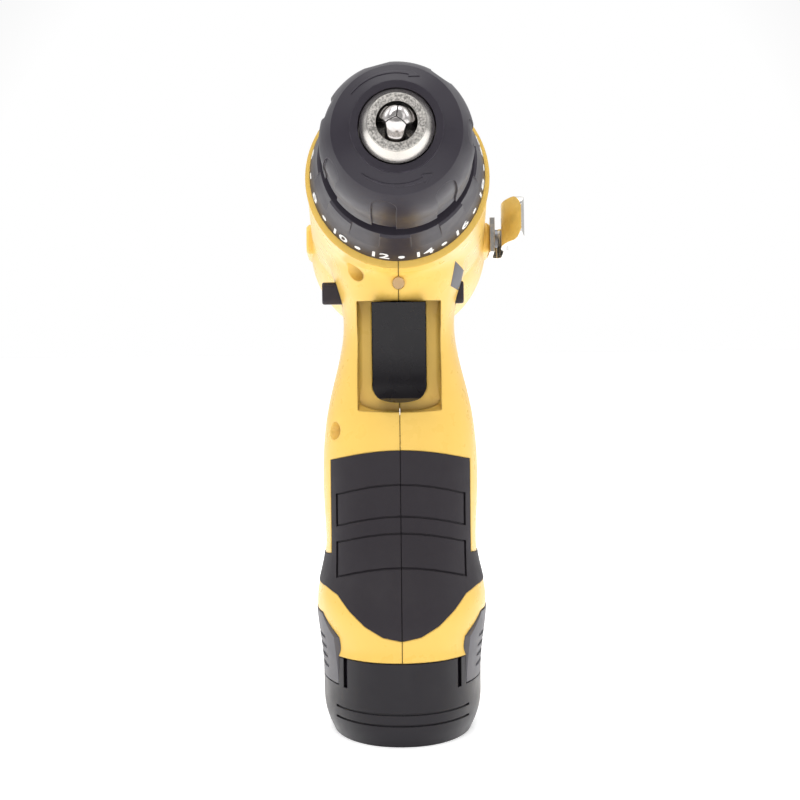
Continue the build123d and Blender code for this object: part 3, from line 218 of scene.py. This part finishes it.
def lens(name, colour):
    """Clear resin of the work lamp, faintly cloudy."""
    material = bpy.data.materials.new(name)
    graph = Graph(material)
    cloud = graph.noise(1.2 * MM, 3.0)
    tint = graph.blend(cloud, opaque(colour), scaled(colour, 1.15))
    gloss = graph.spread(cloud, 0.3, 0.7, 0.10, 0.22)
    graph.shader(Base_Color=tint, Roughness=gloss, IOR=1.46, Transmission_Weight=0.55)
    return material


# After the colour come roughness, grain size and grain depth, then for moulded, where they differ from its
# defaults, the rounding of edges, how much lighter an edge is painted as wear and painted sheen, and how strong
# the mottle is.
YELLOW = (0.87, 0.57, 0.13)
BLACK = (0.026, 0.022, 0.031)
LOOKS = {
    "yellow_plastic": lambda n: moulded(n, YELLOW, 0.30, 0.30 * MM, 0.005 * MM, 0.7 * MM, 1.06, 0.02),
    "black_rubber": lambda n: moulded(n, (0.022, 0.018, 0.023), 0.60, 0.35 * MM, 0.030 * MM, 0.3 * MM),
    "black_plastic": lambda n: moulded(n, BLACK, 0.40, 0.22 * MM, 0.010 * MM, 0.35 * MM, 2.6),
    "grey_plastic": lambda n: moulded(n, (0.115, 0.112, 0.125), 0.45, 0.22 * MM, 0.010 * MM, 0.35 * MM),
    "inner_plastic": lambda n: moulded(n, (0.06, 0.06, 0.065), 0.50, 0.30 * MM, 0.010 * MM),
    "bright_steel": lambda n: nose_steel(n, (0.70, 0.67, 0.63)),
    "machined_steel": lambda n: metal(n, (0.56, 0.56, 0.57), 0.30, 0.25 * MM, 0.008 * MM),
    "dark_steel": lambda n: metal(n, (0.20, 0.20, 0.21), 0.36, 0.25 * MM, 0.008 * MM),
    "chrome_steel": lambda n: metal(n, (0.80, 0.78, 0.75), 0.16, 0.40 * MM, 0.004 * MM),
    "copper": lambda n: metal(n, (0.72, 0.36, 0.20), 0.34, 0.45 * MM, 0.060 * MM),
    "contact_brass": lambda n: metal(n, (0.80, 0.62, 0.30), 0.28, 0.25 * MM, 0.006 * MM),
    "magnet_grey": lambda n: metal(n, (0.16, 0.16, 0.17), 0.55, 0.30 * MM, 0.020 * MM),
    "cell_wrap": lambda n: moulded(n, (0.03, 0.16, 0.27), 0.28, 0.60 * MM, 0.004 * MM),
    "wire_sheath": lambda n: moulded(n, (0.42, 0.03, 0.02), 0.50, 0.30 * MM, 0.006 * MM),
    "lamp_lens": lambda n: lens(n, (0.92, 0.66, 0.38)),
    "dial_print": lambda n: moulded(n, (0.88, 0.88, 0.86), 0.42, 0.20 * MM, 0.004 * MM, 0.05 * MM, 1.0),
}
MATERIALS = {name: make(name) for name, make in LOOKS.items()}


def dress(piece, material, smooth_angle=32.0):
    """Gives a mesh one material, smooth-shaded across its gentle angles."""
    piece.data.materials.clear()
    piece.data.materials.append(material)
    piece.data.shade_smooth()
    piece.data.set_sharp_from_angle(angle=math.radians(smooth_angle))
    return piece


for part in RECORD["subparts"]:
    dress(NODES[part["node"]], MATERIALS[part["material_slot"]])
JAW_STEEL = metal("jaw_steel", (0.66, 0.63, 0.62), 0.18, 0.30 * MM, 0.006 * MM)
for number in (1, 2, 3):
    dress(NODES[f"chuck_jaw_{number}"], JAW_STEEL)
dress(NODES["trigger"], moulded("trigger_plastic", (0.006, 0.005, 0.007), 0.28, 0.22 * MM, 0.004 * MM))
dress(NODES["battery_base"], moulded("base_plastic", (0.012, 0.010, 0.014), 0.34, 0.22 * MM, 0.008 * MM))

# ---------------------------------------------------------------- raised print and symbols
CAPITAL_SHARE = 0.7  # how much of the font's size a digit is high
BOLDNESS = 0.022  # how far outlines are pushed out, as a share of the height


def lettering(text, height):
    """A line of text as flat outlines in the XY plane, centred, as a bmesh."""
    curve = bpy.data.curves.new("lettering", "FONT")
    curve.body = text
    curve.size = height / CAPITAL_SHARE
    curve.align_x = "CENTER"
    curve.align_y = "CENTER"
    curve.resolution_u = 4
    curve.offset = BOLDNESS * height
    holder = bpy.data.objects.new("lettering", curve)
    flat = bpy.data.meshes.new_from_object(holder)
    outline = bmesh.new()
    outline.from_mesh(flat)
    bpy.data.objects.remove(holder)
    bpy.data.curves.remove(curve)
    bpy.data.meshes.remove(flat)
    return outline


def polygon(points):
    """A flat outline from its corners, as a bmesh."""
    outline = bmesh.new()
    outline.faces.new([outline.verts.new((x, y, 0)) for x, y in points])
    return outline


def disc(radius, corners=20):
    steps = [2 * math.pi * i / corners for i in range(corners)]
    return polygon([(radius * math.cos(a), radius * math.sin(a)) for a in steps])


ARROW_STEPS, ARROW_TAIL, ARROW_POINT = 14, 0.35, 1.2  # tail's share of the width, head's length to its width


def curved_arrow(radius, start, end, width, head):
    """An arrow bent round a centre, from one angle in degrees to another, as corners in a plane."""
    a, b = math.radians(start), math.radians(end)
    sense = 1 if b > a else -1
    neck = b - sense * head * ARROW_POINT / radius
    outer, inner = [], []
    for i in range(ARROW_STEPS + 1):
        angle = a + (neck - a) * i / ARROW_STEPS
        half = width / 2 * (ARROW_TAIL + (1 - ARROW_TAIL) * i / ARROW_STEPS)
        outer.append(((radius + half) * math.cos(angle), (radius + half) * math.sin(angle)))
        inner.append(((radius - half) * math.cos(angle), (radius - half) * math.sin(angle)))
    tip = (radius * math.cos(b), radius * math.sin(b))
    wide, narrow = radius + head / 2, radius - head / 2
    wing_out = (wide * math.cos(neck), wide * math.sin(neck))
    wing_in = (narrow * math.cos(neck), narrow * math.sin(neck))
    return polygon(outer + [wing_out, tip, wing_in] + inner[::-1])


def thicken(outline, longest):
    """Cuts an outline into short edges, so that it can bend, and gives it sides from z = 0 to 1."""
    bmesh.ops.remove_doubles(outline, verts=outline.verts, dist=1e-6)
    bmesh.ops.triangulate(outline, faces=outline.faces)
    for _ in range(4):
        long_edges = [edge for edge in outline.edges if edge.calc_length() > longest]
        if not long_edges:
            break
        bmesh.ops.subdivide_edges(outline, edges=long_edges, cuts=1)
        bmesh.ops.triangulate(outline, faces=outline.faces)
    faces = list(outline.faces)
    top = bmesh.ops.extrude_face_region(outline, geom=faces, use_keep_orig=True)
    for item in top["geom"]:
        if isinstance(item, bmesh.types.BMVert):
            item.co.z = 1.0
    bmesh.ops.recalc_face_normals(outline, faces=outline.faces)
    return outline


def finish_piece(name, outlines, body, slot):
    """Joins bmeshes into one piece that rides on a body."""
    joined = bmesh.new()
    scratch = bpy.data.meshes.new("scratch")
    for outline in outlines:
        outline.to_mesh(scratch)
        joined.from_mesh(scratch)
        outline.free()
    bpy.data.meshes.remove(scratch)
    mesh = bpy.data.meshes.new(name)
    joined.to_mesh(mesh)
    joined.free()
    piece = bpy.data.objects.new(name, mesh)
    bpy.context.scene.collection.objects.link(piece)
    dress(piece, MATERIALS[slot])
    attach(piece, body)


def surface_of(*nodes):
    """A search tree of the nodes' own triangles."""
    points, faces = [], []
    for node in nodes:
        mesh = NODES[node].data
        first = len(points)
        points += [vertex.co.copy() for vertex in mesh.vertices]
        faces += [[first + i for i in face.vertices] for face in mesh.polygons]
    return BVHTree.FromPolygons(points, faces)


REACH = 60 * MM  # farther from the axis than any surface that is printed on
PRINT_RAISED, PRINT_SUNK = 0.09 * MM, 0.12 * MM
ROUND_EDGE, FLAT_EDGE = 0.45 * MM, 0.6 * MM  # longest edge of print on the barrel, and elsewhere


def wrap(outline, tree, angle, t):
    """Lays an outline on a surface round the barrel, its x round the axis and its y towards the nose."""
    thicken(outline, ROUND_EDGE)
    outside, axis_point = on_barrel(angle, REACH, t), on_barrel(angle, 0, t)
    near = tree.ray_cast(outside, (axis_point - outside).normalized())
    radius = (near[0] - axis_point).length
    for vertex in outline.verts:
        x, y, level = vertex.co
        a = angle - math.degrees(x / radius)
        start, centre = on_barrel(a, REACH, t - y), on_barrel(a, 0, t - y)
        hit, normal, _, _ = tree.ray_cast(start, (centre - start).normalized())
        vertex.co = hit + normal * (PRINT_RAISED if level > 0.5 else -PRINT_SUNK)
    bmesh.ops.recalc_face_normals(outline, faces=outline.faces)
    return outline


def press_on(outline, tree, origin, across, up, towards, raised=PRINT_RAISED):
    """Casts an outline straight onto a surface along towards, its x running across and its y up."""
    thicken(outline, FLAT_EDGE)
    for vertex in outline.verts:
        x, y, level = vertex.co
        start = origin + across * x + up * y
        hit, normal, _, _ = tree.ray_cast(start, towards)
        vertex.co = hit + normal * (raised if level > 0.5 else -PRINT_SUNK)
    bmesh.ops.recalc_face_normals(outline, faces=outline.faces)
    return outline


# torque numbers: even ones as digits, odd ones as dots, and a drill bit for no clutch at all
GROUND, TOP = 90, 270  # angles round the barrel
_, collar_back = span_t("clutch_collar")
DIAL_STEPS = 24
DIAL_STEP = 360 / DIAL_STEPS
DIAL_LINE = collar_back - 3.3 * MM
DIGIT = 3.7 * MM
DOT = 0.95 * MM
DIGIT_WIDEN = 1.2
DIAL_TURN = -2.2  # how far the dial is turned from its middle number
MIDDLE_NUMBER = 13  # the one that faces the ground
collar_surface = surface_of("clutch_collar")
digits, dots = [], []
for number in range(1, DIAL_STEPS):
    angle = GROUND + DIAL_TURN - (number - MIDDLE_NUMBER) * DIAL_STEP
    if number % 2:
        dots.append(wrap(disc(DOT), collar_surface, angle, DIAL_LINE))
    else:
        number_outline = lettering(str(number), DIGIT)
        bmesh.ops.scale(number_outline, vec=(DIGIT_WIDEN, 1, 1), verts=number_outline.verts)
        digits.append(wrap(number_outline, collar_surface, angle, DIAL_LINE))
BIT_LENGTH, BIT_HALF, BIT_STEPS, FLUTE_WAIST = 4.2 * MM, 0.75 * MM, 5, 0.35
flutes = []
for i in range(BIT_STEPS):
    flutes.append((BIT_HALF * (1 - FLUTE_WAIST * (i % 2)), BIT_LENGTH * (0.5 - i / BIT_STEPS)))
bit_tip = (0, BIT_LENGTH / 2 + BIT_HALF)
bit_mark = [bit_tip] + flutes + [(-x, y) for x, y in reversed(flutes)]
last = GROUND + DIAL_TURN - (DIAL_STEPS - MIDDLE_NUMBER) * DIAL_STEP
digits.append(wrap(polygon(bit_mark), collar_surface, last, DIAL_LINE))
finish_piece("dial_numbers", digits, "collar", "dial_print")
finish_piece("dial_dots", dots, "collar", "dial_print")

# turn arrows moulded on the sleeve's front
sleeve_surface = surface_of("chuck_sleeve")
ARROW_R, ARROW_W, ARROW_HEAD, ARROW_RAISED = 15.0 * MM, 0.9 * MM, 2.4 * MM, 0.16 * MM
ARROW_SPANS = ((-142, -66), (128, 52))  # degrees from tail to tip
arrows = []
ahead = NOSE - BACK * 20 * MM
for start, end in ARROW_SPANS:
    arrow = curved_arrow(ARROW_R, start, end, ARROW_W, ARROW_HEAD)
    arrows.append(press_on(arrow, sleeve_surface, ahead, SIDE, DOWN, BACK, ARROW_RAISED))
finish_piece("sleeve_arrows", arrows, "sleeve", "black_plastic")

# index mark for the dial and gear numbers beside the slide, on top of the housing
housing_surface = surface_of("housing_left", "housing_right")
housing_front, _ = span_t("housing_left")
INDEX_TURN, INDEX_IN, INDEX_HALF = 7, 3.4 * MM, 1.6 * MM
GEAR_TURN, GEAR_DIGIT, FIRST_IN, SECOND_IN = 19, 3.6 * MM, 3.5 * MM, 5.0 * MM
mark = polygon([(-INDEX_HALF, -INDEX_HALF), (INDEX_HALF, -INDEX_HALF), (0, INDEX_HALF)])
marks = [wrap(mark, housing_surface, TOP + INDEX_TURN, housing_front + INDEX_IN)]
slide_front, slide_back = span_t("speed_selector")
for text, t in (("1", slide_front + FIRST_IN), ("2", slide_back - SECOND_IN)):
    marks.append(wrap(lettering(text, GEAR_DIGIT), housing_surface, TOP + GEAR_TURN, t))
finish_piece("housing_marks", marks, "housing", "dial_print")

# small blank label low on the left cheek
UP, FORWARDS = Vector((0, 0, 1)), Vector((0, -1, 0))
LABEL_DROP, LABEL_OUT = 37.2 * MM, 18.0 * MM
LABEL_CORNERS = [(-2.3 * MM, -3.2 * MM), (0.6 * MM, -4.4 * MM), (2.0 * MM, 1.8 * MM), (-0.9 * MM, 4.2 * MM)]
label_from = Vector((LABEL_OUT, NOSE.y, NOSE.z - LABEL_DROP))
label = press_on(polygon(LABEL_CORNERS), housing_surface, label_from, SIDE, UP, -FORWARDS)
finish_piece("side_label", [label], "housing", "grey_plastic")

# forward and reverse triangles on the direction bar's ends
bar_lo, bar_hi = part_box("direction_selector")
bar_mid = (bar_lo + bar_hi) / 2
bar_surface = surface_of("direction_selector")
HALF_TALL, HALF_LONG = 1.5 * MM, 1.9 * MM
corners = [(-HALF_LONG, -HALF_TALL), (-HALF_LONG, HALF_TALL), (HALF_LONG, 0)]
triangles = []
for sign in (-1, 1):
    origin = Vector((bar_mid.x + sign * REACH, bar_mid.y, bar_mid.z))
    inwards = Vector((-sign, 0, 0))
    triangles.append(press_on(polygon(corners), bar_surface, origin, FORWARDS * sign, UP, inwards))
finish_piece("direction_marks", triangles, "direction_selector", "dial_print")

# ---------------------------------------------------------------- floor, light and camera
CENTRE = (CAD_LO + CAD_HI) / 2
FLOOR_SIZE, FLOOR_MIDDLE_Y, FLOOR_GAP, FLOOR_GLOW = 8.0, 2.0, 0.02 * MM, 0.45

floor_material = bpy.data.materials.new("floor")
graph = Graph(floor_material)
paper = graph.noise(0.4, 3.0)
tone = graph.blend(paper, opaque((0.92, 0.92, 0.92)), opaque((0.95, 0.95, 0.95)))
graph.shader(
    Base_Color=tone,
    Roughness=0.55,
    Specular_IOR_Level=0.2,
    Emission_Color=tone,
    Emission_Strength=FLOOR_GLOW,
)
bpy.ops.mesh.primitive_plane_add(size=FLOOR_SIZE, location=(0, FLOOR_MIDDLE_Y, CAD_LO.z - FLOOR_GAP))
floor = bpy.context.object
floor.name = "floor"
floor.data.materials.append(floor_material)

# the studio is darkest behind the camera and near the horizon, and bright again straight behind the drill
world = bpy.data.worlds.new("studio")
bpy.context.scene.world = world
graph = Graph(world)
heading = graph.add("ShaderNodeTexCoord").outputs["Generated"]
axes = graph.add("ShaderNodeSeparateXYZ", None, Vector=heading).outputs
depthwise = graph.spread(axes["Y"], -0.7, 0.15, 0.35, 1.0)
level_band = graph.spread(graph.math("ABSOLUTE", axes["Z"]), 0.05, 0.45, 0.55, 1.0)
straight_back = graph.spread(axes["Y"], 0.80, 0.97)
strength = graph.math("MULTIPLY", depthwise, graph.math("MAXIMUM", level_band, straight_back))
background = graph.add("ShaderNodeBackground", None, Color=(1, 1, 1, 1), Strength=strength)
graph.tree.links.new(background.outputs[0], graph.add("ShaderNodeOutputWorld").inputs["Surface"])


def softbox(name, place, size, watts):
    """A square area light turned towards the middle of the drill."""
    data = bpy.data.lights.new(name, "AREA")
    data.shape = "SQUARE"
    data.size = size
    data.energy = watts
    lamp = bpy.data.objects.new(name, data)
    lamp.location = place
    lamp.rotation_mode = "QUATERNION"
    lamp.rotation_quaternion = (CENTRE - Vector(place)).to_track_quat("-Z", "Y")
    bpy.context.scene.collection.objects.link(lamp)


softbox("key", (-0.40, -0.90, 1.10), 0.8, 5.0)
softbox("fill", (0.80, -0.95, 0.60), 0.8, 1.8)
softbox("low_front", (0.0, -1.30, 0.10), 0.7, 1.2)
softbox("top", (0.0, -0.15, 1.20), 0.9, 5.0)
softbox("left_flank", (-0.95, 0.25, 0.80), 0.7, 1.5)
softbox("right_flank", (0.95, 0.25, 0.80), 0.7, 2.0)

CAMERA_AT = Vector((0.0001, -0.548, 0.1255))
CAMERA_PITCH, CAMERA_ROLL, CAMERA_LENS = -2.55, -0.60, 79.0
camera_data = bpy.data.cameras.new("camera")
camera_data.lens = CAMERA_LENS
camera_data.sensor_width = 36.0
camera_data.clip_start = 0.01
camera_data.clip_end = 50.0
camera = bpy.data.objects.new("camera", camera_data)
level = Matrix.Rotation(math.radians(90 + CAMERA_PITCH), 4, "X")
roll = Matrix.Rotation(math.radians(CAMERA_ROLL), 4, "Z")
camera.matrix_world = Matrix.Translation(CAMERA_AT) @ level @ roll
bpy.context.scene.collection.objects.link(camera)
bpy.context.scene.camera = camera
bpy.context.scene.view_settings.view_transform = "Standard"
